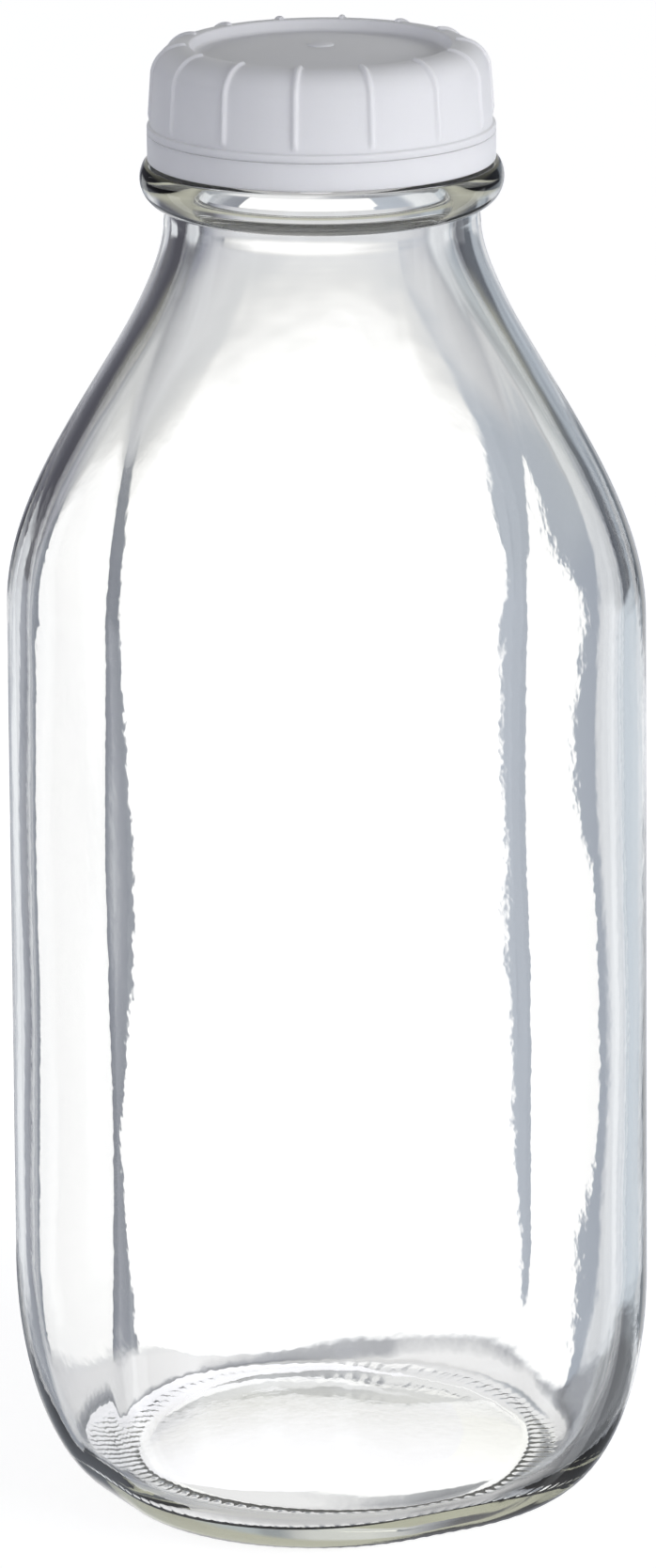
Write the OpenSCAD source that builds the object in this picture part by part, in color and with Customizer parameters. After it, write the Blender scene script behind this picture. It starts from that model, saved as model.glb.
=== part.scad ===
// Square glass milk bottle with a ribbed screw cap, its liner and its tear band.
// Millimetres, +Z up, origin at the centre of the base, flat sides facing X and Y.

/* [Body] */
// Width across the flat sides, at the heel
body_w = 88; // [84:0.5:96]
// Width across the flat sides, where the shoulder starts
body_top_w = 87.5; // [84:0.5:96]
// Radius of the upright corners
corner_r = 32; // [26:0.5:36]
// Width of the round-cornered foot that the bottle stands on
foot_w = 66.6; // [62:0.2:72]
// Length of the flat part of each side of the foot
foot_flat = 7; // [4:0.5:12]
// Height at which the heel's curve meets the sides
heel_h = 33.5; // [26:0.5:42]
// Height at which the shoulder starts
shoulder_z = 136.5; // [110:0.5:170]
// Height of the shoulder, from the sides to the neck
shoulder_h = 59.6; // [52:0.2:70]
// How far up the shoulder still follows the sides
shoulder_pull = 25.6; // [16:0.2:32]
// How far down the shoulder still follows the neck
neck_pull = 12.5; // [6:0.5:20]
// Share of the shoulder's height over which its flats fade into a circle
flat_fade = 0.8; // [0.6:0.05:1]

/* [Glass] */
// Thickness of the sides
wall = 3.2; // [2.4:0.1:4.2]
// Thickness of the floor at its centre
floor_t = 5; // [3:0.5:7]
// Height of the hollow pushed up under the base
push_up_h = 4.5; // [2:0.5:6]
// Radius of the hollow under the base, at the foot
push_up_r = 28.5; // [24:0.5:30]
// Width of the floor inside, before the heel curves up
floor_w = 68; // [56:1:70]
// Height of the floor's edge above the foot
floor_edge_z = 5.5; // [5:0.5:8]
// How much higher the heel ends inside than outside
heel_inside_rise = 2; // [1:0.5:8]

/* [Neck and finish] */
// Outside radius of the neck
neck_r = 23.4; // [23:0.1:24.4]
// Straight length of the neck below the middle of its bead
neck_h = 6.4; // [5:0.2:12]
// Outside radius of the bead below the cap
bead_r = 27; // [26:0.2:29]
// Radius of the bead's rounding
bead_round = 4.4; // [3.8:0.1:5]
// Height of the shelf on top of the bead, above the bead's middle
shelf_rise = 2.3; // [1.5:0.1:3]
// Radius of the mouth's bore
bore_r = 19; // [17.5:0.1:19.2]
// Outside radius of the finish between its threads
finish_r = 22.4; // [22.1:0.1:22.8]
// Height of the finish above the bead's shelf
finish_h = 13.4; // [12.6:0.2:18]
// Rounding of the lip, outside and inside
lip_round = 1; // [0.4:0.1:1.2]
// How far the locking ledge stands out of the finish
ledge_out = 1.6; // [1:0.1:2]
// Height of the locking ledge above the shelf
ledge_rise = 2.2; // [1.8:0.1:2.6]
// Height of the locking ledge's upright edge
ledge_edge = 0.6; // [0.4:0.1:0.8]

/* [Thread] */
// Number of thread starts
thread_starts = 4; // [3:1:5]
// Rise of one start in a full turn
thread_lead = 12.8; // [12:0.2:15]
// How far the glass thread stands out of the finish
thread_out = 1.3; // [0.9:0.1:1.5]
// Height of the glass thread at its root
thread_root = 1.5; // [1.1:0.1:1.6]
// Height of the glass thread at its crest
thread_crest = 0.8; // [0.4:0.1:1]
// Turn taken up by each glass thread, in degrees
thread_span = 100; // [80:5:110]
// Turn taken up by each thread inside the cap, in degrees
cap_thread_span = 60; // [30:5:70]
// Height of the lowest glass thread above the shelf
thread_rise = 6.5; // [6.3:0.1:7]
// Height of the cap thread at its root
cap_thread_root = 1.1; // [0.8:0.1:1.2]

/* [Cap] */
// Thickness of the cap's skirt at its foot
skirt_t = 1.25; // [1:0.05:1.8]
// How much narrower the skirt is at its top, measured on the radius
skirt_draft = 0.5; // [0:0.1:0.8]
// Radius of the rounding between the skirt and the top
cap_round = 4.5; // [3.5:0.1:5]
// Thickness of the cap's top panel
panel_t = 1.5; // [1:0.1:2.4]
// Width of the crest round the sunk top panel
crest_w = 1.3; // [1:0.1:4]
// Depth of the sunk top panel
panel_depth = 1.7; // [1:0.1:2.2]
// Number of grip ribs
rib_count = 14; // [8:1:24]
// Width of a grip rib
rib_w = 0.9; // [0.6:0.1:1.4]
// How far a grip rib stands out of the skirt
rib_out = 0.45; // [0.3:0.05:0.6]
// Angle of the first rib about the axis, in degrees
rib_angle = 233.2; // [225:0.1:245]
// Height of the flange at the foot of the skirt
flange_h = 1.1; // [0.8:0.1:1.6]
// How far the flange stands out of the skirt
flange_out = 0.5; // [0.3:0.05:0.8]
// Radius of the moulding mark in the middle of the top
gate_r = 2.1; // [1:0.1:3]
// Depth of the moulding mark
gate_depth = 0.3; // [0.1:0.05:0.6]

/* [Liner] */
// Thickness of the liner
liner_t = 1; // [0.6:0.1:1.6]

/* [Tear band] */
// Height of the tear band
band_h = 3.9; // [3.6:0.1:4.4]
// Height of the slit between the cap and the tear band
slit_h = 0.35; // [0.25:0.05:0.5]
// Height of the rim that holds the band under the ledge
hook_h = 1.1; // [0.8:0.1:1.4]
// Number of bridges across the slit
bridge_count = 12; // [6:1:20]
// Width of a bridge
bridge_w = 0.9; // [0.5:0.1:1.4]

/* [Clearances] */
// Gap all round between the cap's threads and the glass
thread_gap = 0.35; // [0.2:0.05:0.4]
// Gap all round between the tear band and the glass
band_gap = 0.35; // [0.2:0.05:0.4]
// Gap between the liner's edge and the skirt
liner_gap = 0.4; // [0.3:0.05:0.6]

/* [Hidden] */
$fn = 96;
corner_steps = 14;
heel_steps = 8;
shoulder_steps = 14;
floor_steps = 3;
arc_steps = 8;
thread_steps = 20;
// Share of a thread's span over which each end fades out, and what is left of it at the end
thread_fade = 0.12;
thread_end_h = 0.4;
thread_end_out = 0.3;
// Flat left on the neck's section, so that its corners stay apart
neck_flat = 0.3;
// How far a feature reaches into the wall that it stands on
root = 0.4;
// Chamfer on the edges of the cap's flange and the tear band
chamfer = 0.25;
// Angle below the horizontal at which the bead meets the neck
bead_foot_a = 84;
// Slopes under and over the locking ledge, from the horizontal
ledge_under_a = 18;
ledge_over_a = 35;
// How far the bore reaches below the middle of the bead
bore_foot = 1;
// Gap between the liner and the rim that holds it, and the height of the rim's slopes
rim_gap = 0.3;
rim_slope = 0.3;
// Place where the ribs end on the crest, from the crest's rounding to the sunk panel
rib_end = 0.35;

body_c = body_w / 2 - corner_r;
foot_c = foot_flat / 2;
neck_z = shoulder_z + shoulder_h;
bead_z = neck_z + neck_h;
bead_c = bead_r - bead_round;
shelf_z = bead_z + shelf_rise;
lip_z = shelf_z + finish_h;
ledge_z = shelf_z + ledge_rise;
ledge_r = finish_r + ledge_out;
thread_r = finish_r + thread_out;
thread_z = shelf_z + thread_rise;
pitch = thread_lead / thread_starts;
neck_in_r = bore_r + 0.6;
mid_wall_r = (neck_r + neck_in_r) / 2;
bead_foot_z = bead_z - bead_round * sin(bead_foot_a);

skirt_in_r = thread_r + thread_gap;
skirt_r = skirt_in_r + skirt_t;
flange_r = skirt_r + flange_out;
cap_thread_r = finish_r + thread_gap;
band_z = shelf_z + band_gap;
skirt_z = band_z + band_h + slit_h;
panel_z = lip_z + liner_t + panel_t;
crest_z = panel_z + panel_depth;
crest_r = skirt_r - skirt_draft - cap_round;
panel_r = crest_r - crest_w;
band_in_r = ledge_r + band_gap;
band_mid_r = (band_in_r + flange_r) / 2;
hook_r = finish_r + band_gap;
liner_r = skirt_in_r - liner_gap;
liner_rim_r = liner_r - rim_gap;
liner_rim_z = lip_z - rim_gap;
rib_end_r = mix(crest_r, panel_r, rib_end);
cap_thread_turn = (thread_span - cap_thread_span) / 2;
cap_thread_z = thread_z - pitch / 2 + thread_lead * cap_thread_turn / 360;

function mix(a, b, t) = a + (b - a) * t;
function smooth(t) = let (s = min(1, max(0, t))) s * s * (3 - 2 * s);
function bezier(t, a, b, c, d) =
    pow(1 - t, 3) * a + 3 * pow(1 - t, 2) * t * b + 3 * (1 - t) * t * t * c + t * t * t * d;
// Points of an arc in a profile, from angle a0 to a1
function arc(cx, cy, r, a0, a1, n = arc_steps) =
    [for (i = [0:n]) let (a = mix(a0, a1, i / n)) [cx + r * cos(a), cy + r * sin(a)]];

// Sections of the body are [height, half width, distance of the corner centres from the axis]
function ring(s) =
    [for (q = [0:3], i = [0:corner_steps])
        let (a = 90 * (q + i / corner_steps), sx = (q == 0 || q == 3) ? 1 : -1, sy = q < 2 ? 1 : -1)
        [sx * s[2] + (s[1] - s[2]) * cos(a), sy * s[2] + (s[1] - s[2]) * sin(a), s[0]]];

function heel(z0, z1, w0, w1, c0, c1) =
    [for (i = [0:heel_steps]) let (a = 90 * i / heel_steps)
        [mix(z0, z1, 1 - cos(a)), mix(w0, w1, sin(a)), mix(c0, c1, sin(a))]];

function shoulder_at(t) = bezier(t, shoulder_z, shoulder_z + shoulder_pull, neck_z - neck_pull, neck_z);
function shoulder_c(u) = mix(body_top_w / 2 - corner_r, neck_flat, smooth(u / flat_fade));
// The shoulder's sections, with the glass's thickness taken off for the inside
function shoulder(inside) =
    [for (i = [0:shoulder_steps])
        let (t = i / shoulder_steps, z = shoulder_at(t), u = (z - shoulder_z) / shoulder_h,
            w = mix(body_top_w / 2, neck_r, smooth(t)),
            glass = inside ? mix(wall, neck_r - neck_in_r, smooth(u)) : 0)
        [z, w - glass, shoulder_c(u)]];

// Outside of the body from the foot up, then the inside down to the floor
outside = concat(heel(0, heel_h, foot_w / 2, body_w / 2, foot_c, body_c), shoulder(false),
    [[bead_z, neck_r, neck_flat]]);
inside = concat(
    [for (i = [0:floor_steps - 1]) let (u = (i + 1) / (floor_steps + 1))
        [mix(push_up_h + floor_t, floor_edge_z, u * u), u * floor_w / 2, u * foot_c]],
    heel(floor_edge_z, heel_h + heel_inside_rise, floor_w / 2, body_w / 2 - wall, foot_c, body_c),
    shoulder(true), [[bead_z, neck_in_r, neck_flat]]);
skin = concat(outside, [for (i = [len(inside) - 1:-1:0]) inside[i]]);
ring_size = 4 * (corner_steps + 1);

// A closed skin of rings, with its first and last point on the axis
module rings_solid(sections, first, last) {
    n = ring_size;
    rings = [for (s = sections) each ring(s)];
    top = len(rings) + 1;
    polyhedron(points = concat([first], rings, [last]), convexity = 6, faces = concat(
        [for (i = [0:n - 1]) [0, 1 + i, 1 + (i + 1) % n]],
        [for (k = [0:len(sections) - 2], i = [0:n - 1]) let (a = 1 + k * n + i, b = 1 + k * n + (i + 1) % n)
            each [[a, a + n, b + n], [a, b + n, b]]],
        [for (i = [0:n - 1]) [top - n + i, top, top - n + (i + 1) % n]]));
}

// One start of a thread: a helix of four-cornered sections that fades out at both ends
module thread(root_r, tip_r, root_h, tip_h, span, z) {
    n = thread_steps;
    sections = [for (i = [0:n]) let (u = i / n, a = span * u, h = z + thread_lead * a / 360,
            f = smooth(min(u, 1 - u) / thread_fade), r = mix(root_r, tip_r, mix(thread_end_out, 1, f)),
            k = mix(thread_end_h, 1, f))
        each [for (p = [[root_r, -root_h / 2 * k], [r, -tip_h / 2 * k],
                [r, tip_h / 2 * k], [root_r, root_h / 2 * k]])
            [p[0] * cos(a), p[0] * sin(a), h + p[1]]]];
    side = [for (i = [0:n - 1], j = [0:3]) let (a = 4 * i + j, b = 4 * i + (j + 1) % 4)
        each [[a, b, b + 4], [a, b + 4, a + 4]]];
    ends = [[0, 3, 2], [0, 2, 1], [4 * n, 4 * n + 1, 4 * n + 2], [4 * n, 4 * n + 2, 4 * n + 3]];
    faces = concat(side, ends);
    outward = tip_r > root_r;
    polyhedron(points = sections, faces = outward ? faces : [for (f = faces) [f[2], f[1], f[0]]]);
}

module thread_starts(root_r, tip_r, root_h, tip_h, span, z, turn = 0) {
    for (i = [0:thread_starts - 1])
        rotate([0, 0, turn + 360 / thread_starts * i])
            thread(root_r, tip_r, root_h, tip_h, span, z);
}

// Bead, locking ledge, finish and lip of the bottle, turned about the axis
module finish() {
    rotate_extrude()
        polygon(concat(
            [[mid_wall_r, bead_foot_z]],
            arc(bead_c, bead_z, bead_round, -bead_foot_a, asin(shelf_rise / bead_round)),
            [[finish_r, shelf_z], [finish_r, ledge_z - ledge_out * tan(ledge_under_a)], [ledge_r, ledge_z],
                [ledge_r, ledge_z + ledge_edge],
                [finish_r, ledge_z + ledge_edge + ledge_out * tan(ledge_over_a)]],
            arc(finish_r - lip_round, lip_z - lip_round, lip_round, 0, 90),
            arc(bore_r + lip_round, lip_z - lip_round, lip_round, 90, 180),
            [[bore_r, bead_z - bore_foot], [mid_wall_r, bead_foot_z + root]]));
}

module glass_bottle() {
    push_up_ball = (push_up_r * push_up_r + push_up_h * push_up_h) / (2 * push_up_h);
    color([0.86, 0.93, 0.92, 0.35])
        difference() {
            union() {
                rings_solid(skin, [0, 0, 0], [0, 0, push_up_h + floor_t]);
                finish();
                thread_starts(finish_r - root, thread_r, thread_root, thread_crest, thread_span, thread_z);
            }
            translate([0, 0, push_up_h - push_up_ball])
                sphere(push_up_ball);
        }
}

// Outline of the cap's outside, from the top of the skirt to the end of the ribs, grown by out
function cap_outline(out) = concat(
    arc(crest_r, crest_z - cap_round, cap_round + out, 0, 90),
    [[rib_end_r, crest_z + out]]);

module rib() {
    rotate([90, 0, 0])
        translate([0, 0, -rib_w / 2])
            linear_extrude(rib_w)
                polygon(concat([[skirt_r + rib_out, skirt_z + flange_h - root]], cap_outline(rib_out),
                    [[rib_end_r, crest_z - root]],
                    arc(crest_r, crest_z - cap_round, cap_round - root, 90, 0),
                    [[skirt_r - root, skirt_z + flange_h - root]]));
}

module screw_cap() {
    color([0.92, 0.92, 0.93])
        difference() {
            union() {
                rotate_extrude()
                    polygon(concat(
                        [[skirt_in_r, skirt_z], [flange_r, skirt_z],
                            [flange_r, skirt_z + flange_h - chamfer], [skirt_r, skirt_z + flange_h]],
                        cap_outline(0),
                        [[panel_r, panel_z], [0, panel_z], [0, lip_z + liner_t],
                            [skirt_in_r, lip_z + liner_t],
                            [skirt_in_r, liner_rim_z], [liner_rim_r, liner_rim_z - rim_slope],
                            [skirt_in_r, liner_rim_z - 3 * rim_slope]]));
                for (i = [0:rib_count - 1])
                    rotate([0, 0, rib_angle + 360 / rib_count * i])
                        rib();
                thread_starts(skirt_in_r + root, cap_thread_r, cap_thread_root, cap_thread_root / 2,
                    cap_thread_span, cap_thread_z, cap_thread_turn);
            }
            translate([0, 0, panel_z - gate_depth])
                cylinder(h = panel_depth, r = gate_r);
        }
}

module seal_liner() {
    color([0.97, 0.97, 0.95])
        translate([0, 0, lip_z])
            cylinder(h = liner_t, r = liner_r);
}

module tear_band() {
    color([0.92, 0.92, 0.93]) {
        rotate_extrude()
            polygon([[hook_r, band_z + hook_h / 2], [hook_r + hook_h / 2, band_z],
                [flange_r - chamfer, band_z], [flange_r, band_z + chamfer],
                [flange_r, band_z + band_h], [band_in_r, band_z + band_h],
                [band_in_r, band_z + hook_h + (band_in_r - hook_r) * tan(ledge_under_a)],
                [hook_r, band_z + hook_h]]);
        for (i = [0:bridge_count - 1])
            rotate([0, 0, rib_angle + 360 / bridge_count * i])
                translate([band_in_r + root, -bridge_w / 2, band_z + band_h - root])
                    cube([band_mid_r - band_in_r, bridge_w, root + slit_h]);
    }
}

glass_bottle();
screw_cap();
seal_liner();
tear_band();
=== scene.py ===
"""Square glass milk bottle with its screw cap, liner and tear band, dressed for a picture.

Metres, +Z up, origin at the centre of the base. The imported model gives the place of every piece.
"""

import math

import bmesh
import bpy
from mathutils import Matrix, Vector


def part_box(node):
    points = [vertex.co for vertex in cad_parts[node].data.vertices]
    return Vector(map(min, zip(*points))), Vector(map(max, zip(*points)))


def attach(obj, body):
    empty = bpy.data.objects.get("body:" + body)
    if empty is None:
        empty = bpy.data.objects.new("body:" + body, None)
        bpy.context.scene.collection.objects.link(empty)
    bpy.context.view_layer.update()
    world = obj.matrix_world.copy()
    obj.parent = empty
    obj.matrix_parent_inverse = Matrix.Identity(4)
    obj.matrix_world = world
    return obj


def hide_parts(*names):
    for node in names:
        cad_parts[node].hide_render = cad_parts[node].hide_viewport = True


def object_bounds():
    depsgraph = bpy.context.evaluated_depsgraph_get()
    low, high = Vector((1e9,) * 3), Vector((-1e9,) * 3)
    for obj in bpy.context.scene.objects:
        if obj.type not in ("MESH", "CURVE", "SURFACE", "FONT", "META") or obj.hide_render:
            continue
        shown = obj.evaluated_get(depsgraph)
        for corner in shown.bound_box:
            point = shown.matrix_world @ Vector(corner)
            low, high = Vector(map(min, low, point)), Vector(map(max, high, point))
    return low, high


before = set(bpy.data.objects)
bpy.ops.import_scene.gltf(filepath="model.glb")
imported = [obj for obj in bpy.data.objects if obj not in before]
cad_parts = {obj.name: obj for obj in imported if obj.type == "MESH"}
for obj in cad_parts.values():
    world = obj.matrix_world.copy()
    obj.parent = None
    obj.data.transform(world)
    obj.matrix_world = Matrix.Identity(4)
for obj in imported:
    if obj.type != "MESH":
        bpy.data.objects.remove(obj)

bl_info = {
    "name": "Square milk bottle",
    "version": (1, 0, 0),
    "blender": (4, 5, 0),
    "location": "3D View > Sidebar > Milk bottle",
    "description": "Builds a square glass milk bottle with its cap, liner, tear band and stage",
    "category": "Object",
}

CAD_LOW, CAD_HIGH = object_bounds()
GLASS_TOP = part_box("glass_bottle")[1].z
CAP_LOW, CAP_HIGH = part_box("screw_cap")
BAND_LOW, BAND_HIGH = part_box("tear_band")
LINER_LOW, LINER_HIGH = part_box("seal_liner")

# Sizes of the finish that the glass shares with the plastic round it
BEAD_RISE = 0.0064  # from the top of the neck to the middle of the bead
SHELF_RISE = 0.0023  # from the middle of the bead to the shelf on it
LEDGE_RISE = 0.0022  # from the shelf to the ledge that holds the band
LEDGE_OUT = 0.0016  # how far the ledge stands out
THREAD_RISE = 0.0065  # from the shelf to the start of a thread
THREADS = 4
SLIP = 0.00035  # room between glass and plastic


# ---------------------------------------------------------------- sizes and colours


def length(name, default, text):
    """A length that a user would change, in metres."""
    return bpy.props.FloatProperty(
        name=name, description=text, default=default, min=0, unit="LENGTH", subtype="DISTANCE"
    )


def colour(name, default, text):
    """A colour that a user would change."""
    return bpy.props.FloatVectorProperty(
        name=name, description=text, default=default, size=3, min=0, max=1, subtype="COLOR"
    )


def share(name, default, text):
    """A plain number from 0 up."""
    return bpy.props.FloatProperty(name=name, description=text, default=default, min=0)


class GlassSizes(bpy.types.PropertyGroup):
    """Sizes of the glass."""

    body_width: length("Body width", CAD_HIGH.x - CAD_LOW.x, "Width across the flat sides, at the heel")
    body_top_width: length("Body top width", 0.0875, "Width across the flat sides, under the shoulder")
    corner: length("Corner radius", 0.032, "Radius of the upright corners")
    foot_width: length("Foot width", 0.0666, "Width of the foot that the bottle stands on")
    foot_flat: length("Foot flat", 0.007, "Length of the flat part of each side of the foot")
    heel_height: length("Heel height", 0.0335, "Height at which the heel meets the sides")
    shoulder_z: length("Shoulder start", 0.1365, "Height at which the shoulder starts")
    shoulder_height: length("Shoulder height", 0.0596, "Height of the shoulder")
    wall: length("Wall", 0.0032, "Thickness of the sides")
    inner_corner: length("Inner corner", 0.0284, "Radius of the upright corners inside")
    floor: length("Floor", 0.0064, "Thickness of the floor at its centre")
    floor_width: length("Floor width", 0.068, "Width of the floor inside, before the heel curves up")
    floor_edge: length("Floor edge", 0.0055, "Height of the floor's edge above the foot")
    heel_inside: length("Heel inside", 0.0355, "Height at which the heel meets the sides inside")
    push_up: length("Push-up", 0.0028, "Height of the hollow under the base")
    push_up_radius: length("Push-up radius", 0.0285, "Radius of the hollow under the base")
    neck_radius: length("Neck radius", 0.0234, "Outside radius of the neck")
    bead_radius: length("Bead radius", 0.027, "Outside radius of the bead under the cap")
    bead_round: length("Bead rounding", 0.0044, "Radius of the bead's rounding")
    finish_radius: length("Finish radius", 0.0224, "Outside radius of the finish between its threads")
    bore: length("Bore radius", 0.019, "Radius of the mouth's bore")
    thread_out: length("Thread height", 0.0013, "How far the thread stands out of the finish")
    thread_lead: length("Thread lead", 0.0128, "Rise of one thread in a full turn")
    waviness: length("Waviness", 0.00012, "How far the inside of the glass wanders")
    knurl_depth: length("Knurl depth", 0.0003, "Depth of the small grooves under the foot")
    knurl_count: bpy.props.IntProperty(
        name="Knurls", description="Number of small grooves round the foot", default=96, min=12
    )


class CapSizes(bpy.types.PropertyGroup):
    """Sizes of the cap, its liner and its tear band."""

    skirt: length("Skirt thickness", 0.00125, "Thickness of the skirt at its foot")
    draft: length("Skirt draft", 0.0005, "How much narrower the skirt is at its top")
    rounding: length("Crest rounding", 0.0045, "Radius between the skirt and the top")
    flange: length("Flange height", 0.0011, "Height of the flange at the foot of the skirt")
    flange_out: length("Flange width", 0.0005, "How far the flange stands out")
    panel_radius: length("Panel radius", 0.0190, "Radius of the sunk top panel")
    panel_depth: length("Panel depth", 0.0017, "Depth of the sunk top panel")
    crown: length("Panel crown", 0.0014, "Rise of the sunk panel's middle above its edge")
    gate_radius: length("Gate radius", 0.002, "Radius of the small nub in the middle of the panel")
    gate_height: length("Gate height", 0.0005, "Height of that nub")
    rib_width: length("Rib width", 0.0009, "Width of a grip rib")
    rib_out: length("Rib height", 0.00045, "How far a grip rib stands out")
    rib_count: bpy.props.IntProperty(name="Ribs", description="Number of grip ribs", default=14, min=4)
    rib_angle: bpy.props.FloatProperty(
        name="First rib",
        description="Angle of the first rib about the axis",
        default=math.radians(233.2),
        subtype="ANGLE",
    )
    bridge_count: bpy.props.IntProperty(
        name="Bridges", description="Number of bridges across the slit", default=12, min=3
    )


class Finishes(bpy.types.PropertyGroup):
    """Colours and surface finishes."""

    glass_tint: colour("Glass tint", (0.64, 0.66, 0.45), "Colour that thick glass takes")
    glass_density: share("Glass density", 6.0, "How fast thick glass takes its colour, per metre")
    cap_colour: colour("Cap colour", (0.83, 0.83, 0.838), "Colour of the cap's plastic")
    cap_roughness: share("Cap roughness", 0.42, "Roughness of the cap's plastic")
    liner_colour: colour("Liner colour", (0.86, 0.86, 0.82), "Colour of the liner's foam")


class StageSettings(bpy.types.PropertyGroup):
    """Light, floor and camera."""

    fill: colour("Fill", (1.0, 1.02, 1.12), "Light from all round, for all but glass and gloss")
    sky_share: share("Sky share", 0.1, "Brightness of the light from above, next to the fill")
    key_power: share("Key light", 8.2, "Power of the large soft light on the right, in watts")
    # Painted reflections that only glass shows and that light nothing: grey surroundings and white
    # panels
    painted_room_grey: colour("Room grey", (0.45, 0.495, 0.57), "What glass shows beside the white panels")
    painted_glare_white: share("Panel white", 1.3, "Brightness of the white panels that glass shows")
    camera_turn: bpy.props.FloatProperty(
        name="Camera turn",
        description="Angle of the camera about the upright axis",
        default=math.radians(-28),
        subtype="ANGLE",
    )
    camera_tilt: bpy.props.FloatProperty(
        name="Camera tilt",
        description="Angle of the camera above the floor",
        default=math.radians(15.31),
        subtype="ANGLE",
    )
    camera_distance: length("Camera distance", 1.322, "Distance from the camera to the bottle's middle")
    camera_lens: bpy.props.FloatProperty(
        name="Lens", description="Focal length", default=201.5, min=1, unit="CAMERA"
    )


# ---------------------------------------------------------------- curves and shapes


def mix(a, b, t):
    return a + (b - a) * t


def smooth(t):
    t = min(1.0, max(0.0, t))
    return t * t * (3 - 2 * t)


def bezier(t, a, b, c, d):
    u = 1 - t
    return u**3 * a + 3 * u * u * t * b + 3 * u * t * t * c + t**3 * d


def arc(x, z, r, start, end, steps):
    """Points of an arc from one angle to another, in degrees."""
    angles = [math.radians(mix(start, end, i / steps)) for i in range(steps + 1)]
    return [(x + r * math.cos(a), z + r * math.sin(a)) for a in angles]


def line(a, b, steps):
    """Points from a up to, but not including, b."""
    return [(mix(a[0], b[0], i / steps), mix(a[1], b[1], i / steps)) for i in range(steps)]


def eased(corners, steps=4):
    """A profile through the corners, each given as x, z and the radius that rounds it."""
    out = []
    for i, (x, z, r) in enumerate(corners):
        here = Vector((x, z))
        if r == 0 or i in (0, len(corners) - 1):
            out.append((x, z))
            continue
        back = (Vector(corners[i - 1][:2]) - here).normalized()
        on = (Vector(corners[i + 1][:2]) - here).normalized()
        half = back.angle(on) / 2
        reach = r / math.tan(half)
        a, b = here + back * reach, here + on * reach
        for k in range(steps + 1):
            t = k / steps
            p = a.lerp(here, t).lerp(here.lerp(b, t), t)
            out.append((p.x, p.y))
    return out


def square_radius(turn, half, corner):
    """Distance from the axis to a round-cornered square, corner being its corner centres' offset."""
    big, small = sorted((abs(math.cos(turn)), abs(math.sin(turn))), reverse=True)
    if small / big * half <= corner:
        return half / big
    along = corner * (big + small)
    return along + math.sqrt(along * along - 2 * corner * corner + (half - corner) ** 2)


def thread_start(glass):
    """Height at which each thread of the finish starts."""
    return glass.shoulder_z + glass.shoulder_height + BEAD_RISE + SHELF_RISE + THREAD_RISE


def thread_share(turn, z, base, lead, start, sweep, section):
    """Share of its full height at which a thread stands at a turn and a height.

    Every thread starts at base, rises by lead in a turn and ends after its sweep. section gives its
    height from the distance to its middle and from its size there, which fades to 0 at both ends.
    """
    out = 0.0
    for n in range(THREADS):
        a = (turn - 2 * math.pi / THREADS * n - start) % (2 * math.pi)
        u = a / sweep
        if u < 1:
            full = smooth(min(u, 1 - u) / 0.12)
            off = abs(z - base - lead * a / (2 * math.pi))
            out = max(out, section(off, full) * full)
    return out


def revolved(k, turn, section):
    """Point of a round piece, where a section is a radius and a height."""
    r, z = section
    return r * math.cos(turn), r * math.sin(turn), z


def loft(bm, count, sections, place, turns=None):
    """Extrudes a ring of points from section to section.

    place gives a point from its number in the ring, its turn and the section.
    """
    tag = bm.verts.layers.int.new("place")
    ring = bmesh.ops.create_circle(bm, cap_ends=False, segments=count, radius=1)["verts"]
    # Numbered by angle, where a hair under a full turn counts as 0
    ring.sort(key=lambda v: round(math.atan2(v.co.y, v.co.x) % (2 * math.pi), 5) % 6.28318)
    turns = turns or [2 * math.pi * k / count for k in range(count)]
    for k, v in enumerate(ring):
        v[tag] = k
        v.co = place(k, turns[k], sections[0])
    edges = list({e for v in ring for e in v.link_edges})
    first = edges
    for section in sections[1:]:
        made = bmesh.ops.extrude_edge_only(bm, edges=edges)["geom"]
        ring = {v for v in made if isinstance(v, bmesh.types.BMVert)}
        edges = [e for e in made if isinstance(e, bmesh.types.BMEdge) and set(e.verts) <= ring]
        for v in ring:
            v.co = place(v[tag], turns[v[tag]], section)
    bm.verts.layers.int.remove(tag)
    return first, edges


def finish_mesh(bm, name, material, body, node, sharp=60):
    """Closes the poles, turns the faces outward and puts the piece on its body."""
    bmesh.ops.remove_doubles(bm, verts=bm.verts, dist=2e-6)
    bmesh.ops.recalc_face_normals(bm, faces=bm.faces)
    for face in bm.faces:
        face.smooth = True
    for edge in bm.edges:
        edge.smooth = len(edge.link_faces) == 2 and edge.calc_face_angle(0) < math.radians(sharp)
    mesh = bpy.data.meshes.new(name)
    bm.to_mesh(mesh)
    bm.free()
    piece = bpy.data.objects.new(name, mesh)
    bpy.context.scene.collection.objects.link(piece)
    mesh.materials.append(material)
    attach(piece, body)
    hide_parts(node)


# ---------------------------------------------------------------- node trees


class Value:
    """A node's socket that can be used in a Python expression."""

    def __init__(self, tree, socket):
        self.tree, self.socket = tree, socket

    def math(self, operation, *others):
        return self.tree.node("Math", {"operation": operation}, dict(enumerate((self, *others))))

    def flipped(self, operation, other):
        return self.tree.node("Math", {"operation": operation}, {0: other, 1: self})

    def __add__(self, other):
        return self.math("ADD", other)

    def __sub__(self, other):
        return self.math("SUBTRACT", other)

    def __mul__(self, other):
        return self.math("MULTIPLY", other)

    def __truediv__(self, other):
        return self.math("DIVIDE", other)

    def __radd__(self, other):
        return self.flipped("ADD", other)

    def __rsub__(self, other):
        return self.flipped("SUBTRACT", other)

    def __rmul__(self, other):
        return self.flipped("MULTIPLY", other)

    def __rtruediv__(self, other):
        return self.flipped("DIVIDE", other)


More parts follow.
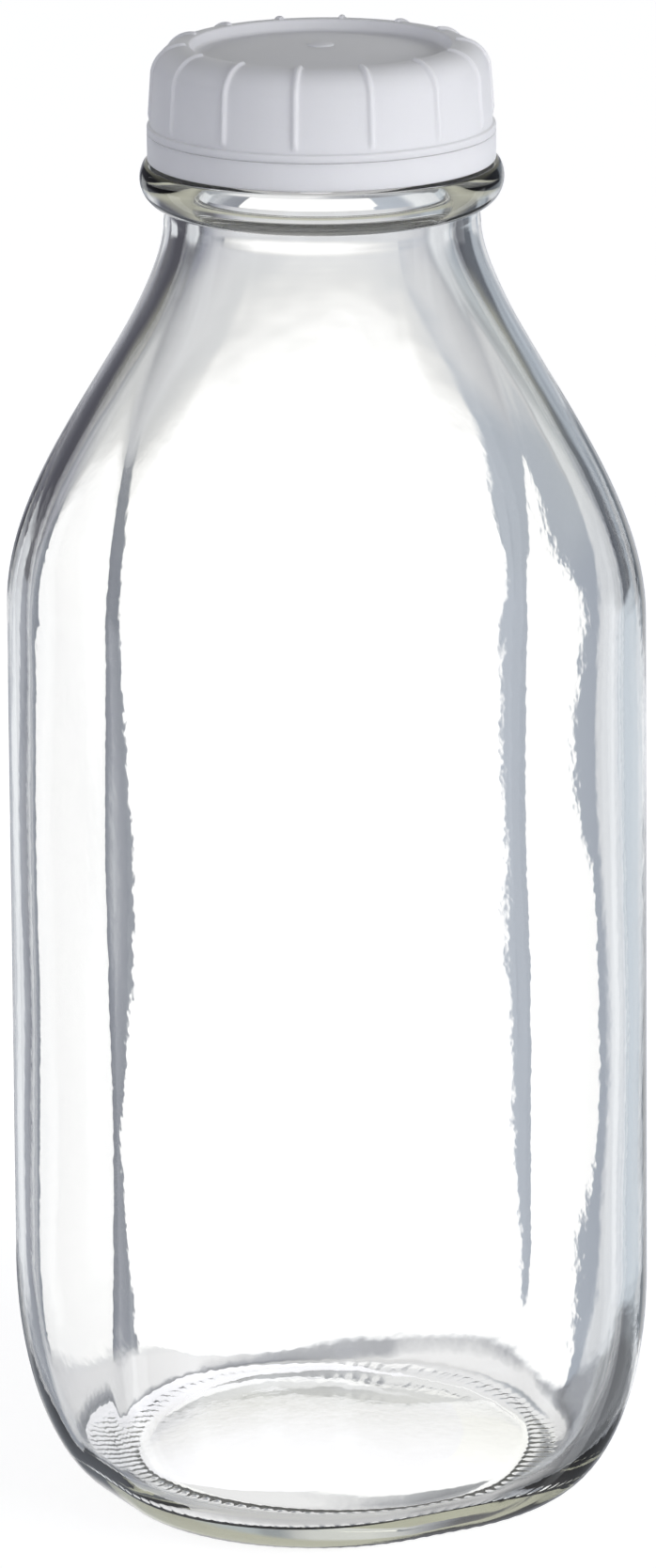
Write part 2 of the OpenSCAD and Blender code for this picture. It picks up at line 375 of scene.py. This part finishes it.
class Tree:
    """The nodes of a material or a world."""

    def __init__(self, owner):
        owner.use_nodes = True
        self.tree = owner.node_tree
        self.tree.nodes.clear()

    def node(self, kind, settings=None, inputs=None, output=0):
        """Adds a node, sets it, fills or links its sockets and gives one of its outputs."""
        made = self.tree.nodes.new("ShaderNode" + kind)
        for name, value in (settings or {}).items():
            if name == "stops":
                stops = made.color_ramp.elements
                while len(stops) < len(value):
                    stops.new(1)
                for stop, (place, shade) in zip(stops, value):
                    stop.position, stop.color = place, shade
            else:
                setattr(made, name, value)
        for name, value in (inputs or {}).items():
            if isinstance(value, Value):
                self.tree.links.new(value.socket, made.inputs[name])
            else:
                made.inputs[name].default_value = value
        return Value(self, made.outputs[output]) if made.outputs else None


def step_between(tree, value, low, high):
    """0 below low, 1 above high and smooth between them."""
    return tree.node(
        "MapRange",
        {"interpolation_type": "SMOOTHSTEP"},
        {"Value": value, "From Min": low, "From Max": high, "To Min": 0.0, "To Max": 1.0},
    )


def blend(tree, factor, a, b):
    """Mixes two colours. The node has a set of sockets for each kind of value, 6 and 7 for colours."""
    return tree.node("Mix", {"data_type": "RGBA"}, {0: factor, 6: a, 7: b}, output=2)


def clear_glass():
    """Pressed clear glass, a little olive where it is thick, with faint ripples."""
    f = bpy.context.scene.bottle_finishes
    material = bpy.data.materials.new("clear_glass")
    tree = Tree(material)
    spot = tree.node("TexCoord", output="Object")
    ripple = tree.node("TexNoise", {}, {"Vector": spot, "Scale": 60.0, "Detail": 2.0})
    up = tree.node("SeparateXYZ", {}, {0: spot}, output="Z")
    grain = tree.node("TexNoise", {}, {"Vector": spot, "Scale": 550.0, "Detail": 1.0})
    height = ripple + grain * 0.13 * (1 - step_between(tree, up, 0.145, 0.168))
    bump = tree.node("Bump", {}, {"Strength": 0.25, "Distance": 0.0002, "Height": height})
    surface = tree.node(
        "BsdfPrincipled",
        {},
        {
            "Base Color": (1, 1, 1, 1),
            "Roughness": 0.0,
            "IOR": 1.52,
            "Transmission Weight": 1.0,
            "Normal": bump,
        },
    )
    volume = tree.node(
        "VolumeAbsorption", {}, {"Color": (*f.glass_tint, 1), "Density": f.glass_density}
    )
    tree.node("OutputMaterial", {}, {"Surface": surface, "Volume": volume})
    return material


def satin_plastic(name, shade, roughness):
    """Moulded satin plastic with a fine tooth and a faint change of tone."""
    material = bpy.data.materials.new(name)
    tree = Tree(material)
    spot = tree.node("TexCoord", output="Object")
    cloud = tree.node("TexNoise", {}, {"Vector": spot, "Scale": 90.0, "Detail": 3.0})
    tooth = tree.node("TexNoise", {}, {"Vector": spot, "Scale": 2600.0, "Detail": 2.0})
    low, high = ((*[min(1, c * level) for c in shade], 1) for level in (0.97, 1.02))
    tone = blend(tree, cloud, low, high)
    bump = tree.node("Bump", {}, {"Strength": 0.35, "Distance": 0.00004, "Height": tooth})
    surface = tree.node(
        "BsdfPrincipled",
        {},
        {
            "Base Color": tone,
            "Roughness": roughness - 0.04 + cloud * 0.08,
            "IOR": 1.5,
            "Subsurface Weight": 0.6,
            "Subsurface Radius": (1.0, 1.0, 0.95),
            "Subsurface Scale": 0.0016,
            "Normal": bump,
        },
    )
    tree.node("OutputMaterial", {}, {"Surface": surface})
    return material


def liner_foam():
    """Pressed foam: matte, with fine cells."""
    f = bpy.context.scene.bottle_finishes
    material = bpy.data.materials.new("liner_foam")
    tree = Tree(material)
    spot = tree.node("TexCoord", output="Object")
    cells = tree.node("TexVoronoi", {}, {"Vector": spot, "Scale": 2200.0})
    cloud = tree.node("TexNoise", {}, {"Vector": spot, "Scale": 160.0, "Detail": 2.0})
    tone = blend(tree, cloud, (*[c * 0.95 for c in f.liner_colour], 1), (*f.liner_colour, 1))
    bump = tree.node("Bump", {}, {"Strength": 0.5, "Distance": 0.00005, "Height": cells})
    surface = tree.node(
        "BsdfPrincipled", {}, {"Base Color": tone, "Roughness": 0.75 + cloud * 0.1, "Normal": bump}
    )
    tree.node("OutputMaterial", {}, {"Surface": surface})
    return material


# ---------------------------------------------------------------- pieces


class BOTTLE_OT_glass(bpy.types.Operator):
    """Blow the glass: foot, heel, flat sides, shoulder, neck, bead, threads and the inside"""

    bl_idname = "bottle.glass"
    bl_label = "Glass bottle"

    def sections(self, s):
        """Rings from under the base, up the outside, over the lip and down the inside.

        Each has its height, half its width, the offset of its corners' centres, how far the knurls
        cut up and in, its share of the inside's waves and whether the threads stand on it.
        """
        half, top_half, foot = s.body_width / 2, s.body_top_width / 2, s.foot_width / 2
        corner, top_corner, foot_corner = half - s.corner, top_half - s.corner, s.foot_flat / 2
        neck_z = s.shoulder_z + s.shoulder_height
        bead_z = neck_z + BEAD_RISE
        bead_x = s.bead_radius - s.bead_round
        shelf = bead_z + SHELF_RISE
        ledge, ledge_r = shelf + LEDGE_RISE, s.finish_radius + LEDGE_OUT
        lip, lip_round = GLASS_TOP, 0.001
        inner_neck = s.bore + 0.0006
        inner_half = half - s.wall
        inner_corner = inner_half - s.inner_corner
        inner_top_corner = top_half - s.wall - s.inner_corner
        rings = []

        def add(z, width, offset, knurl=(0, 0), wave=0, thread=0):
            rings.append((z, width, offset, knurl, wave, thread))

        for i in range(16):
            u = math.sin(math.pi / 2 * i / 16)
            add(mix(0.0001, s.push_up, 1 - u * u), s.push_up_radius * u, 0)
        for out, z in ((0, 0.00009), (0.0006, 0.00002), (0.0012, 0)):
            add(z, s.push_up_radius + out, 0.0002)
        for back, depth in ((0.0032, 0), (0.0027, 1), (0.0016, 1), (0.0007, 1)):
            add(0, foot - back, mix(0.0005, foot_corner, smooth(1 - back / 0.0038)), (depth, 0))
        for i in range(25):
            a = math.pi / 2 * i / 24
            depth = 1 - smooth(i / 4)
            add(
                mix(0, s.heel_height, 1 - math.cos(a)),
                mix(foot, half, math.sin(a)),
                mix(foot_corner, corner, math.sin(a)),
                (depth * 0.6, depth * 0.8),
            )
        for i in range(1, 8):
            add(
                mix(s.heel_height, s.shoulder_z, i / 8),
                mix(half, top_half, i / 8),
                mix(corner, top_corner, i / 8),
            )
        shoulder = []
        for i in range(41):
            t = i / 40
            z = bezier(t, s.shoulder_z, s.shoulder_z + 0.0256, neck_z - 0.0125, neck_z)
            u = (z - s.shoulder_z) / s.shoulder_height
            width = mix(top_half, s.neck_radius, smooth(t))
            shoulder.append((z, width, mix(top_corner, 0.0003, smooth(u / 0.8)), u))
        for z, width, offset, u in shoulder:
            add(z, width, offset)
        add(neck_z + 0.001, s.neck_radius, 0.0001)
        for r, z in arc(bead_x, bead_z, s.bead_round, -84, 27, 26):
            add(z, max(r, s.neck_radius) if z < bead_z - 0.004 else r, 0)
        top = eased(
            [
                (bead_x + 0.0038, shelf - 0.0001, 0),
                (bead_x + 0.0034, shelf, 0.0003),
                (s.finish_radius, shelf, 0.0005),
                (s.finish_radius, ledge - 0.0006, 0.0003),
                (ledge_r, ledge, 0.0002),
                (ledge_r, ledge + 0.0006, 0.0002),
                (s.finish_radius, ledge + 0.0018, 0.0006),
                (s.finish_radius, ledge + 0.0022, 0),
            ]
        )
        for r, z in top:
            add(z, r, 0)
        for i in range(46):
            add(mix(ledge + 0.0023, lip - lip_round, i / 46), s.finish_radius, 0, thread=1)
        for r, z in arc(s.finish_radius - lip_round, lip - lip_round, lip_round, 0, 90, 8):
            add(z, r, 0)
        for r, z in arc(s.bore + lip_round, lip - lip_round, lip_round, 90, 180, 8):
            add(z, r, 0)
        for z in (lip - 0.0062, ledge, bead_z + 0.001):
            add(z, s.bore, 0)
        for i in range(1, 5):
            add(mix(bead_z, neck_z, i / 4), mix(s.bore, inner_neck, smooth(i / 4)), 0.0003 * i / 4)
        for z, width, offset, u in reversed(shoulder[:-1]):
            glass = mix(s.wall, s.neck_radius - inner_neck, smooth(u))
            inside = offset * mix(inner_top_corner / top_corner, 1, u)
            add(z, width - glass, inside, wave=1 - smooth((u - 0.4) / 0.6))
        for i in range(11, 0, -1):
            add(
                mix(s.heel_inside, s.shoulder_z, i / 12),
                mix(inner_half, top_half - s.wall, i / 12),
                mix(inner_corner, inner_top_corner, i / 12),
                wave=1,
            )
        for i in range(24, -1, -1):
            a = math.pi / 2 * i / 24
            add(
                mix(s.floor_edge, s.heel_inside, 1 - math.cos(a)),
                mix(s.floor_width / 2, inner_half, math.sin(a)),
                mix(foot_corner, inner_corner, math.sin(a)),
                wave=math.sin(a),
            )
        for i in range(7, -1, -1):
            u = i / 8
            add(
                mix(s.push_up + s.floor, s.floor_edge, u * u),
                u * s.floor_width / 2,
                u * foot_corner,
            )
        return rings

    def execute(self, context):
        s = context.scene.bottle_glass
        per_knurl = 3
        base, sweep = thread_start(s), math.radians(100)

        def ridge(off, full):
            """A thread's section, which is narrower near its ends."""
            root, crest = 0.00075 * mix(0.4, 1, full), 0.0004 * mix(0.4, 1, full)
            return smooth((root + 0.0001 - off) / (root - crest + 0.0002))

        def place(k, turn, ring):
            z, width, offset, knurl, wave, threaded = ring
            r = square_radius(turn, width, offset)
            if threaded:
                r += s.thread_out * thread_share(turn, z, base, s.thread_lead, 0, sweep, ridge)
            if wave:
                r += wave * s.waviness * (
                    math.sin(2 * turn + 41 * z + 0.7)
                    + 0.8 * math.sin(3 * turn - 63 * z + 2.1)
                    + 0.4 * math.sin(5 * turn + 97 * z + 4.0)
                    + 0.12 * math.sin(9 * turn - 170 * z + 1.3)
                )
            cut = s.knurl_depth if k % per_knurl else 0
            r -= cut * knurl[1]
            return r * math.cos(turn), r * math.sin(turn), z + cut * knurl[0]

        bm = bmesh.new()
        loft(bm, per_knurl * s.knurl_count, self.sections(s), place)
        finish_mesh(bm, "glass", clear_glass(), "bottle", "glass_bottle", sharp=75)
        return {"FINISHED"}


class BOTTLE_OT_cap(bpy.types.Operator):
    """Mould the cap: skirt, ribs, flange, sunk top and the inside thread"""

    bl_idname = "bottle.cap"
    bl_label = "Screw cap"

    def execute(self, context):
        c = context.scene.bottle_cap
        g = context.scene.bottle_glass
        low, high = CAP_LOW.z, CAP_HIGH.z - c.rib_out
        outer = CAP_HIGH.x
        foot_r = outer - c.flange_out
        inner = foot_r - c.skirt
        crest_r = foot_r - c.draft - c.rounding
        panel = high - c.panel_depth
        ceiling = GLASS_TOP + 0.001
        thread_r = g.finish_radius + SLIP
        twist, sweep = math.radians(20), math.radians(60)
        base = thread_start(g) - 0.0016 + g.thread_lead * twist / (2 * math.pi)
        inside = [(0, ceiling), (0.008, ceiling), (0.016, ceiling)] + eased(
            [
                (0.021, ceiling, 0),
                (inner, ceiling, 0.0004),
                (inner, GLASS_TOP - 0.0003, 0.0001),
                (inner - 0.0007, GLASS_TOP - 0.0006, 0.00015),
                (inner, GLASS_TOP - 0.0009, 0.0001),
                (inner, GLASS_TOP - 0.0012, 0),
            ]
        )
        wall = [(inner, mix(GLASS_TOP - 0.0014, low + 0.0004, i / 38)) for i in range(39)]
        foot = eased(
            [
                (inner, low + 0.0003, 0),
                (inner, low, 0.0002),
                (outer, low, 0.00008),
                (outer, low + c.flange, 0.0003),
                (foot_r, low + c.flange + 0.0001, 0.0002),
                (foot_r - 0.00003, low + c.flange + 0.0006, 0),
            ]
        )
        side = line(
            (foot_r - 0.00003, low + c.flange + 0.0009), (foot_r - c.draft, high - c.rounding), 8
        )
        crest = arc(crest_r, high - c.rounding, c.rounding, 0, 90, 16)
        top = line((crest_r - 0.0003, high), (c.panel_radius + 0.001, high), 3)
        sunk = eased(
            [
                (c.panel_radius + 0.0009, high, 0),
                (c.panel_radius + 0.0003, high, 0.0004),
                (c.panel_radius, panel, 0.0006),
                (c.panel_radius - 0.002, panel, 0),
            ],
            6,
        )

        def crowned(r):
            """Height of the sunk panel at a radius."""
            return panel + c.crown * (1 - (r / (c.panel_radius - 0.0015)) ** 2)

        middle = [(r, crowned(r)) for r in (0.015, 0.012, 0.009, 0.006, 0.004, 0.0023)]
        gate = [
            (c.gate_radius * math.cos(a), crowned(c.gate_radius) + c.gate_height * math.sin(a))
            for a in (math.pi / 2 * i / 8 for i in range(9))
        ]
        sections = [(r, z, 0, 0) for r, z in inside]
        sections += [(r, z, 0, 1) for r, z in wall]
        sections += [(r, z, 0, 0) for r, z in foot]
        sections += [(r, z, 1 if i else 0.5, 0) for i, (r, z) in enumerate(side + crest + top)]
        sections += [(r, z, 0, 0) for r, z in sunk + middle + gate]
        sections = [(*section, i) for i, section in enumerate(sections)]
        rib_end = mix(crest_r, c.panel_radius, 0.35)

        # Points crowd together where a rib stands, so that its sides come out round.
        step = 2 * math.pi / c.rib_count
        wide = math.asin(c.rib_width / foot_r)
        near = [wide * w for w in (-1.2, -0.85, -0.62, -0.45, -0.28, 0, 0.28, 0.45, 0.62, 0.85, 1.2)]
        gap = step - 2.4 * wide
        cell = near + [1.2 * wide + gap * i / 9 for i in range(1, 9)]
        turns = [c.rib_angle + step * n + a for n in range(c.rib_count) for a in cell]

        def normal(i):
            """Direction out of the profile at one of its points."""
            a, b = sections[max(0, i - 1)], sections[min(len(sections) - 1, i + 1)]
            across = Vector((b[1] - a[1], a[0] - b[0]))
            return across.normalized() if across.length else Vector((0, 1))

        def ridge(off, full):
            """A thread's section, which keeps its width up to its ends."""
            return smooth((0.0006 - off) / 0.0004)

        def place(k, turn, section):
            r, z, rib, threaded, i = section
            if threaded:
                stands = thread_share(turn, z, base, g.thread_lead, twist, sweep, ridge)
                r -= (inner - thread_r) * stands
            if rib and r > 0.001:
                away = abs((turn - c.rib_angle + step / 2) % step - step / 2) * r
                out = c.rib_out * rib * smooth((c.rib_width * 0.72 - away) / (c.rib_width * 0.6))
                if z > high - 1e-5:
                    out *= smooth((r - rib_end) / 0.0006 + 0.5)
                across = normal(i)
                r, z = r + across.x * out, min(z + across.y * out, CAP_HIGH.z - 1e-5)
            return r * math.cos(turn), r * math.sin(turn), z

        bm = bmesh.new()
        loft(bm, len(turns), sections, place, turns)
        f = context.scene.bottle_finishes
        finish_mesh(
            bm,
            "cap",
            satin_plastic("cap_plastic", f.cap_colour, f.cap_roughness),
            "cap",
            "screw_cap",
        )
        return {"FINISHED"}


class BOTTLE_OT_liner(bpy.types.Operator):
    """Cut the foam liner, with the ring that the lip has pressed into it"""

    bl_idname = "bottle.liner"
    bl_label = "Liner"

    def execute(self, context):
        g = context.scene.bottle_glass
        low, high, r = LINER_LOW.z, LINER_HIGH.z, LINER_HIGH.x
        lip = (g.bore + g.finish_radius) / 2
        profile = eased(
            [
                (0, low, 0),
                (lip - 0.0018, low, 0.0005),
                (lip - 0.0010, low + 0.00012, 0.0004),
                (lip + 0.0010, low + 0.00012, 0.0004),
                (lip + 0.0018, low, 0.0005),
                (r, low, 0.0002),
                (r, high, 0.0002),
                (0.015, high, 0),
                (0, high, 0),
            ]
        )
        bm = bmesh.new()
        loft(bm, 128, profile, revolved)
        finish_mesh(bm, "liner", liner_foam(), "liner", "seal_liner")
        return {"FINISHED"}


class BOTTLE_OT_band(bpy.types.Operator):
    """Mould the tear band, its hook and the bridges that hold it to the cap"""

    bl_idname = "bottle.band"
    bl_label = "Tear band"

    def execute(self, context):
        c = context.scene.bottle_cap
        g = context.scene.bottle_glass
        low, outer = BAND_LOW.z, BAND_HIGH.x
        high = BAND_HIGH.z - 0.00006
        hook = g.finish_radius + SLIP
        inner = g.finish_radius + LEDGE_OUT + SLIP
        corners = [
            (hook, low + 0.0005, 0),
            (hook + 0.0005, low, 0.0002),
            (outer, low, 0.0003),
            (outer, high, 0.00008),
            (inner, high, 0.0002),
            (inner, low + 0.0017, 0.0002),
            (hook, low + 0.0011, 0.0002),
            (hook, low + 0.0006, 0),
        ]
        bm = bmesh.new()
        first, last = loft(bm, 192, eased(corners), revolved)
        bmesh.ops.bridge_loops(bm, edges=first + last)
        middle = (inner + outer) / 2
        tall = BAND_HIGH.z - high + 0.0003
        for i in range(c.bridge_count):
            a = c.rib_angle + 2 * math.pi / c.bridge_count * i
            spot = Vector((middle * math.cos(a), middle * math.sin(a), BAND_HIGH.z - tall / 2))
            size = Matrix.Diagonal((0.0007, 0.0009, tall, 1))
            block = bmesh.ops.create_cube(
                bm, size=1, matrix=Matrix.Translation(spot) @ Matrix.Rotation(a, 4, "Z") @ size
            )["verts"]
            upright = {
                e
                for v in block
                for e in v.link_edges
                if abs(e.verts[0].co.z - e.verts[1].co.z) > tall / 2
            }
            bmesh.ops.bevel(
                bm,
                geom=list(upright),
                offset=0.00015,
                affect="EDGES",
                segments=2,
                profile=0.5,
                material=-1,
            )
        f = context.scene.bottle_finishes
        finish_mesh(
            bm,
            "band",
            satin_plastic("band_plastic", f.cap_colour, f.cap_roughness),
            "band",
            "tear_band",
        )
        return {"FINISHED"}


# ---------------------------------------------------------------- stage


class BOTTLE_OT_stage(bpy.types.Operator):
    """Set the floor, the white surroundings with painted reflections for glass, the lights and the
    camera
    """

    bl_idname = "bottle.stage"
    bl_label = "Stage"

    def sheet(self, bm, name, paint, spot):
        """Puts a flat sheet at a spot and gives it with the nodes of its material."""
        bmesh.ops.translate(bm, verts=bm.verts, vec=spot)
        mesh = bpy.data.meshes.new(name)
        bm.to_mesh(mesh)
        bm.free()
        sheet = bpy.data.objects.new(name, mesh)
        bpy.context.scene.collection.objects.link(sheet)
        material = bpy.data.materials.new(paint)
        mesh.materials.append(material)
        return sheet, Tree(material)

    def floor(self):
        """Pale paper that shows a soft shadow, and a glowing disc under the foot that paints the floor
        lit through the glass.
        """
        bm = bmesh.new()
        bmesh.ops.create_grid(bm, x_segments=1, y_segments=1, size=6)
        floor, tree = self.sheet(bm, "floor", "floor_paper", (0, 0, -0.0002))
        paper = tree.node("BsdfDiffuse", {}, {"Color": (0.9, 0.9, 0.9, 1)})
        glow = tree.node("Emission", {}, {"Color": (1, 1, 1, 1), "Strength": 0.56})
        seen = tree.node("LightPath", output="Is Camera Ray")
        lit = tree.node("MixShader", {}, {0: 0.5, 1: paper, 2: glow})
        both = tree.node("AddShader", {}, {0: lit, 1: glow})
        shown = tree.node("MixShader", {}, {0: seen, 1: paper, 2: both})
        tree.node("OutputMaterial", {}, {"Surface": shown})
        floor.visible_transmission = False
        floor.visible_glossy = False

        # Only the glass shows this one: a glowing disc, no lamp, that paints the floor lit through the
        # glass
        bm = bmesh.new()
        bmesh.ops.create_circle(bm, cap_ends=True, segments=48, radius=0.0285)
        under, tree = self.sheet(bm, "painted_lit_floor_under_foot", "painted_floor_glow", (-0.0044, 0.0105, -0.0001))
        glow = tree.node("Emission", {}, {"Color": (1, 1, 1.05, 1), "Strength": 1.25})
        tree.node("OutputMaterial", {}, {"Surface": glow})
        under.visible_camera = under.visible_diffuse = under.visible_shadow = False

    def world(self, s):
        """White for the camera, painted reflections of white panels and grey surroundings that only
        glass sees, soft light for the rest.
        """
        world = bpy.data.worlds.new("studio")
        bpy.context.scene.world = world
        tree = Tree(world)
        spot = tree.node("TexCoord", output="Generated")
        x, y, z = (tree.node("SeparateXYZ", {}, {0: spot}, output=axis) for axis in "XYZ")
        turn = y.math("ARCTAN2", x) * math.degrees(1)

        def folded(angle, step):
            """The angle from the nearest whole number of steps."""
            steps = angle / step + 0.5
            return (steps - steps.math("FLOOR") - 0.5) * step

        def rise(low, high):
            """0 below an elevation, 1 above another, in degrees."""
            return step_between(
                tree, z, math.sin(math.radians(low)), math.sin(math.radians(high))
            )

        # Painted reflections that only glass sees, by angle to the left of straight ahead: a white
        # wall, slate and pale blue on its right, grey on its left; painted darker higher up, and
        # painted shade and shadow of the floor round the bottle lower down
        ahead = folded(turn - (math.degrees(s.camera_turn) + 90), 360.0)
        slate, grey, pale = s.painted_room_grey, (0.42, 0.45, 0.50), (0.61, 0.67, 0.73)
        dark, lit = (0.13, 0.13, 0.15), (0.6, 0.6, 0.6)

        def tones(*stops):
            """Painted reflection tones at angles from straight ahead, in degrees."""
            places = [(0.5 + angle / 360, (*tone, 1)) for angle, tone in stops]
            return tree.node("ValToRGB", {"stops": places}, {"Fac": ahead / 360.0 + 0.5})

        middle = tones(
            (-110, lit),
            (-75, dark),
            (-55, slate),
            (-45, pale),
            (-15.8, pale),
            (-14.2, slate),
            (0, slate),
            (8, (0.20, 0.22, 0.26)),
            (13, (0.32, 0.34, 0.39)),
            (17, (0.56, 0.58, 0.62)),
            (22, grey),
            (35, (0.36, 0.38, 0.43)),
            (60, dark),
            (75, dark),
            (110, lit),
        )
        high = tones(
            (-120, lit),
            (-80, dark),
            (-31, (0.10, 0.11, 0.13)),
            (-27, (0.46, 0.51, 0.57)),
            (-16, (0.46, 0.51, 0.57)),
            (-14, (0.32, 0.35, 0.40)),
            (-10.5, (0.34, 0.37, 0.42)),
            (-9, (0.56, 0.57, 0.61)),
            (-6, (0.72, 0.73, 0.76)),
            (4, (0.77, 0.78, 0.80)),
            (10, (0.64, 0.65, 0.69)),
            (15, (0.33, 0.34, 0.40)),
            (20, (0.09, 0.09, 0.11)),
            (80, (0.08, 0.08, 0.09)),
            (120, lit),
        )
        # Painted shade and the bottle's painted shadow on the floor near it, for glass that looks down
        painted_floor_shade = tones(
            (-120, lit),
            (-75, dark),
            (-19, (0.18, 0.19, 0.20)),
            (-14, (0.46, 0.48, 0.52)),
            (-10, (0.40, 0.42, 0.46)),
            (-6, (0.20, 0.21, 0.24)),
            (-2, (0.42, 0.43, 0.47)),
            (-0.5, (0.50, 0.51, 0.54)),
            (0.5, (0.94, 0.94, 0.96)),
            (14, (0.94, 0.94, 0.96)),
            (22, grey),
            (75, dark),
            (120, lit),
        )
        upper, body = rise(-10.8, -8.9), rise(-23.5, -21.5)
        painted_surroundings = blend(tree, body, painted_floor_shade, blend(tree, upper, middle, high))

        # Painted paler reflection strips at every eighth of a turn keep the bottle clear from all round
        beside = step_between(tree, ahead.math("ABSOLUTE"), 40.0, 45.0)
        strips = 1 - step_between(tree, folded(turn, 45.0).math("ABSOLUTE"), 5.0, 8.0)
        strips = strips * (1 - rise(-7.5, -3.5)) * body.math("MAXIMUM", beside)
        painted_surroundings = blend(tree, strips, painted_surroundings, (0.86, 0.885, 0.92, 1))

        # A painted white reflection straight ahead, whose right edge steps in and whose top is painted
        # dimmer
        right_edge = rise(-14.5, -12.5) * 0.7 - 5.2
        left_edge = step_between(tree, ahead, 8.7, 9.3)
        panel = step_between(tree, ahead - right_edge, -0.3, 0.3) * (1 - left_edge)
        glare = s.painted_glare_white * (1 - rise(-11.7, -10.3) * 0.32)
        painted_surroundings = blend(tree, panel * body * (1 - upper), painted_surroundings, glare)

        # Painted plain reflection tones far below and above; the warm one above paints olive edges and
        # glints into thick glass
        painted_surroundings = blend(tree, 1 - rise(-60, -36), painted_surroundings, (0.6, 0.6, 0.61, 1))
        painted_surroundings = blend(tree, rise(5, 15), painted_surroundings, (0.52, 0.52, 0.44, 1))

        seen, glossy, through = (
            tree.node("LightPath", output=f"Is {kind} Ray")
            for kind in ("Camera", "Glossy", "Transmission")
        )
        sky = step_between(tree, z, 0.35, 0.65)
        soft = blend(tree, sky, (*s.fill, 1), (*[c * s.sky_share for c in s.fill], 1))
        # Glossy and transmission rays see the painted reflections, all other rays the soft light
        light = blend(tree, glossy.math("MAXIMUM", through), soft, painted_surroundings)
        sight = blend(tree, seen, light, (1, 1, 1, 1))
        tree.node("OutputWorld", {}, {"Surface": tree.node("Background", {}, {"Color": sight})})

    def lights(self, s):
        """One large soft light high on the camera's right."""
        right = Vector((math.cos(s.camera_turn), math.sin(s.camera_turn), 0))
        front = Vector((math.sin(s.camera_turn), -math.cos(s.camera_turn), 0))
        aim = Vector((0, 0, 0.12))
        lamp = bpy.data.lights.new("key", "AREA")
        lamp.shape, lamp.size, lamp.size_y = "RECTANGLE", 0.8, 0.8
        lamp.energy = s.key_power
        key = bpy.data.objects.new("key", lamp)
        bpy.context.scene.collection.objects.link(key)
        key.location = right * 0.95 + front * 0.8 + Vector((0, 0, 0.34))
        key.rotation_euler = (aim - key.location).to_track_quat("-Z", "Y").to_euler()
        key.visible_transmission = False
        key.visible_glossy = False

    def camera(self, s):
        """A long lens that looks a little down on the bottle."""
        turn, tilt = s.camera_turn, s.camera_tilt
        back = Vector(
            (math.sin(turn) * math.cos(tilt), -math.cos(turn) * math.cos(tilt), math.sin(tilt))
        )
        right = Vector((math.cos(turn), math.sin(turn), 0))
        data = bpy.data.cameras.new("camera")
        data.sensor_width, data.lens = 36, s.camera_lens
        data.clip_start, data.clip_end = 0.05, 30
        camera = bpy.data.objects.new("camera", data)
        bpy.context.scene.collection.objects.link(camera)
        middle = Vector((0, 0, 0.11))
        camera.location = middle + back * s.camera_distance
        # Aimed a hair beside and below the middle, and turned a little about the line of sight
        aim = right * 0.00023 + Vector((0, 0, 0.1092))
        look = (aim - camera.location).to_track_quat("-Z", "Y").to_matrix()
        roll = Matrix.Rotation(math.radians(-0.44), 3, "Z")
        camera.rotation_euler = (look @ roll).to_euler()
        bpy.context.scene.camera = camera

    def execute(self, context):
        s = context.scene.bottle_stage
        context.scene.view_settings.view_transform = "Standard"
        self.floor()
        self.world(s)
        self.lights(s)
        self.camera(s)
        return {"FINISHED"}


class BOTTLE_PT_sidebar(bpy.types.Panel):
    """Sizes, finishes and the operators that build the bottle"""

    bl_label = "Milk bottle"
    bl_space_type = "VIEW_3D"
    bl_region_type = "UI"
    bl_category = "Milk bottle"

    def draw(self, context):
        scene = context.scene
        for group in (scene.bottle_glass, scene.bottle_cap, scene.bottle_finishes, scene.bottle_stage):
            box = self.layout.box()
            for name in group.__annotations__:
                box.prop(group, name)
        for operator in OPERATORS:
            self.layout.operator(operator.bl_idname)


GROUPS = (
    ("bottle_glass", GlassSizes),
    ("bottle_cap", CapSizes),
    ("bottle_finishes", Finishes),
    ("bottle_stage", StageSettings),
)
OPERATORS = (BOTTLE_OT_stage, BOTTLE_OT_glass, BOTTLE_OT_cap, BOTTLE_OT_liner, BOTTLE_OT_band)


def register():
    for name, group in GROUPS:
        bpy.utils.register_class(group)
        setattr(bpy.types.Scene, name, bpy.props.PointerProperty(type=group))
    for operator in OPERATORS:
        bpy.utils.register_class(operator)
    bpy.utils.register_class(BOTTLE_PT_sidebar)


def unregister():
    bpy.utils.unregister_class(BOTTLE_PT_sidebar)
    for operator in reversed(OPERATORS):
        bpy.utils.unregister_class(operator)
    for name, group in reversed(GROUPS):
        delattr(bpy.types.Scene, name)
        bpy.utils.unregister_class(group)


def main():
    register()
    bpy.ops.bottle.stage()
    bpy.ops.bottle.glass()
    bpy.ops.bottle.cap()
    bpy.ops.bottle.liner()
    bpy.ops.bottle.band()


if __name__ == "__main__":
    main()
